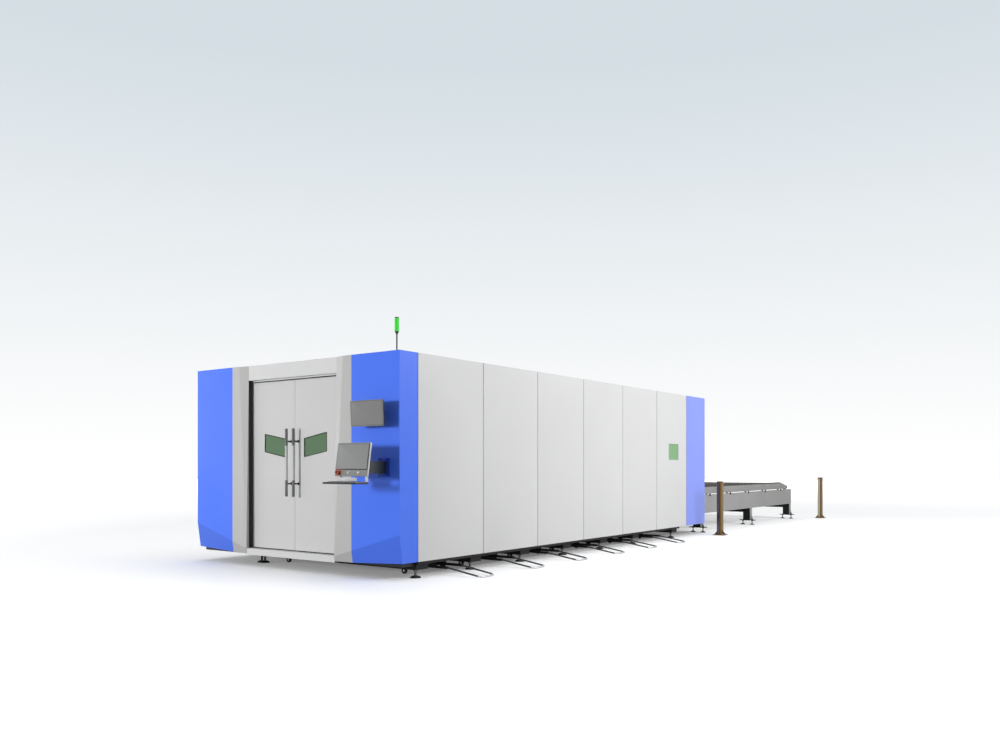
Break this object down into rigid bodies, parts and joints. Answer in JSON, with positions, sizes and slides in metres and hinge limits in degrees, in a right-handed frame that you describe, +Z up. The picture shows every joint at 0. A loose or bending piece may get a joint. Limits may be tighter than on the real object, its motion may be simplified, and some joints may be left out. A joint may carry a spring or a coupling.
{
  "type": "fiber laser cutting machine",
  "caption": "Enclosed sheet laser cutter with sliding doors, gantry and head, slag carts under the bed, operator console and a pallet exchange table behind.",
  "frame": {"origin": "middle of the machine's floor plan, on the floor", "axes": "+Y runs from the operator's doors to the exchange table, +Z up, +X towards the console side"},
  "size_m": [3.9978, 14.419, 2.7853],
  "materials": {
    "blue_paint": "satin powder coat",
    "grey_paint": "satin powder coat",
    "pillar_paint": "satin powder coat",
    "door_paint": "satin powder coat",
    "black_paint": "semi-matt paint",
    "table_paint": "satin paint",
    "green_pane": "filtering laser-safety pane",
    "steel": "brushed",
    "slat_steel": "bare mild steel with heat tint",
    "console_grey": "matt",
    "screen_glass": "glossy",
    "tray_black": "matt",
    "stop_red": "glossy",
    "button_white": "glossy",
    "lamp_green": "lit lens",
    "post_bronze": "bronze anodised"
  },
  "bodies": {
    "machine": {"bed_frame": "black_paint", "console_bracket": "tray_black", "door_header": "grey_paint", "door_pillar_left": "pillar_paint", "door_pillar_right": "pillar_paint", "door_sill": "grey_paint", "exchange_frame": "table_paint", "exchange_leg_frame_1": "black_paint", "exchange_leg_frame_2": "black_paint", "exchange_leg_frame_3": "black_paint", "front_panel_left": "blue_paint", "front_panel_right": "blue_paint", "laser_source_cabinet": "grey_paint", "light_post_front": "post_bronze", "light_post_rear": "post_bronze", "monitor_bracket": "tray_black", "rear_corner_right": "blue_paint", "rear_wall": "grey_paint", "roof_cover": "grey_paint", "side_panel_right_1": "grey_paint", "side_panel_right_2": "grey_paint", "side_panel_right_3": "grey_paint", "side_panel_right_4": "grey_paint", "side_panel_right_5": "grey_paint", "side_panel_right_6": "grey_paint", "side_wall_left": "grey_paint", "side_window": "green_pane", "signal_lamp": "lamp_green", "signal_pole": "black_paint"},
    "door_left": {"door_leaf_left": "door_paint", "door_window_left": "green_pane", "door_handle_left": "steel"},
    "door_right": {"door_leaf_right": "door_paint", "door_window_right": "green_pane", "door_handle_right": "steel"},
    "gantry": {"gantry_beam": "grey_paint"},
    "carriage": {"head_carriage": "console_grey"},
    "head": {"cutting_head": "console_grey"},
    "outer_pallet": {"exchange_pallet": "slat_steel"},
    "inner_pallet": {"cabin_pallet": "slat_steel"},
    "console": {"console_arm": "tray_black", "console_housing": "console_grey", "console_screen": "screen_glass"},
    "tray": {"keyboard_tray": "tray_black"},
    "stop": {"emergency_stop": "stop_red"},
    "start": {"start_button": "button_white"},
    "reset": {"reset_button": "button_white"},
    "second_monitor": {"monitor": "console_grey"},
    "cart_1": {"slag_cart_1": "black_paint"},
    "tow_1": {"cart_handle_1": "black_paint"},
    "cart_2": {"slag_cart_2": "black_paint"},
    "tow_2": {"cart_handle_2": "black_paint"},
    "cart_3": {"slag_cart_3": "black_paint"},
    "tow_3": {"cart_handle_3": "black_paint"},
    "cart_4": {"slag_cart_4": "black_paint"},
    "tow_4": {"cart_handle_4": "black_paint"},
    "cart_5": {"slag_cart_5": "black_paint"},
    "tow_5": {"cart_handle_5": "black_paint"},
    "cart_6": {"slag_cart_6": "black_paint"},
    "tow_6": {"cart_handle_6": "black_paint"}
  },
  "joints": [
    {"name": "door_left_slide", "type": "slide", "parent": "machine", "child": "door_left", "axis": [-1, 0, 0], "range_m": [0, 0.64]},
    {"name": "door_right_slide", "type": "slide", "parent": "machine", "child": "door_right", "axis": [1, 0, 0], "range_m": [0, 0.64]},
    {"name": "gantry_travel", "type": "slide", "parent": "machine", "child": "gantry", "axis": [0, 1, 0], "range_m": [-0.9, 4.6]},
    {"name": "carriage_travel", "type": "slide", "parent": "gantry", "child": "carriage", "axis": [1, 0, 0], "range_m": [-0.95, 0.95]},
    {"name": "head_lift", "type": "slide", "parent": "carriage", "child": "head", "axis": [0, 0, 1], "range_m": [-0.155, 0.06]},
    {"name": "outer_pallet_travel", "type": "slide", "parent": "machine", "child": "outer_pallet", "axis": [0, -1, 0], "range_m": [0, 6.24]},
    {"name": "inner_pallet_travel", "type": "slide", "parent": "machine", "child": "inner_pallet", "axis": [0, 1, 0], "range_m": [0, 6.24]},
    {"name": "console_swivel", "type": "hinge", "parent": "machine", "child": "console", "pos_m": [1.269, -6.6905, 1.18], "axis": [0, 0, 1], "range_deg": [-20, 55]},
    {"name": "tray_fold", "type": "hinge", "parent": "console", "child": "tray", "pos_m": [1.269, -6.9935, 1.0813], "axis": [-1, 0, 0], "range_deg": [0, 60]},
    {"name": "stop_press", "type": "slide", "parent": "console", "child": "stop", "axis": [0, 0.989, -0.1478], "range_m": [0, 0.005], "stiffness_N_per_m": 1200, "springref_m": -0.002},
    {"name": "start_press", "type": "slide", "parent": "console", "child": "start", "axis": [0, 0.989, -0.1478], "range_m": [0, 0.003], "stiffness_N_per_m": 800, "springref_m": -0.002},
    {"name": "reset_press", "type": "slide", "parent": "console", "child": "reset", "axis": [0, 0.989, -0.1478], "range_m": [0, 0.003], "stiffness_N_per_m": 800, "springref_m": -0.002},
    {"name": "monitor_tilt", "type": "hinge", "parent": "machine", "child": "second_monitor", "pos_m": [1.154, -6.7502, 1.749], "axis": [1, 0, 0], "range_deg": [-5, 8]},
    {"name": "cart_1_pull", "type": "slide", "parent": "machine", "child": "cart_1", "axis": [1, 0, 0], "range_m": [0, 2.2]},
    {"name": "tow_1_lift", "type": "hinge", "parent": "cart_1", "child": "tow_1", "pos_m": [1.529, -5.8105, 0.08], "axis": [0, -1, 0], "range_deg": [0, 92]},
    {"name": "cart_2_pull", "type": "slide", "parent": "machine", "child": "cart_2", "axis": [1, 0, 0], "range_m": [0, 2.2]},
    {"name": "tow_2_lift", "type": "hinge", "parent": "cart_2", "child": "tow_2", "pos_m": [1.529, -4.8005, 0.08], "axis": [0, -1, 0], "range_deg": [0, 92]},
    {"name": "cart_3_pull", "type": "slide", "parent": "machine", "child": "cart_3", "axis": [1, 0, 0], "range_m": [0, 2.2]},
    {"name": "tow_3_lift", "type": "hinge", "parent": "cart_3", "child": "tow_3", "pos_m": [1.529, -3.7905, 0.08], "axis": [0, -1, 0], "range_deg": [0, 92]},
    {"name": "cart_4_pull", "type": "slide", "parent": "machine", "child": "cart_4", "axis": [1, 0, 0], "range_m": [0, 2.2]},
    {"name": "tow_4_lift", "type": "hinge", "parent": "cart_4", "child": "tow_4", "pos_m": [1.529, -2.7805, 0.08], "axis": [0, -1, 0], "range_deg": [0, 92]},
    {"name": "cart_5_pull", "type": "slide", "parent": "machine", "child": "cart_5", "axis": [1, 0, 0], "range_m": [0, 2.2]},
    {"name": "tow_5_lift", "type": "hinge", "parent": "cart_5", "child": "tow_5", "pos_m": [1.529, -1.7705, 0.08], "axis": [0, -1, 0], "range_deg": [0, 92]},
    {"name": "cart_6_pull", "type": "slide", "parent": "machine", "child": "cart_6", "axis": [1, 0, 0], "range_m": [0, 2.2]},
    {"name": "tow_6_lift", "type": "hinge", "parent": "cart_6", "child": "tow_6", "pos_m": [1.529, -0.7605, 0.08], "axis": [0, -1, 0], "range_deg": [0, 92]}
  ]
}
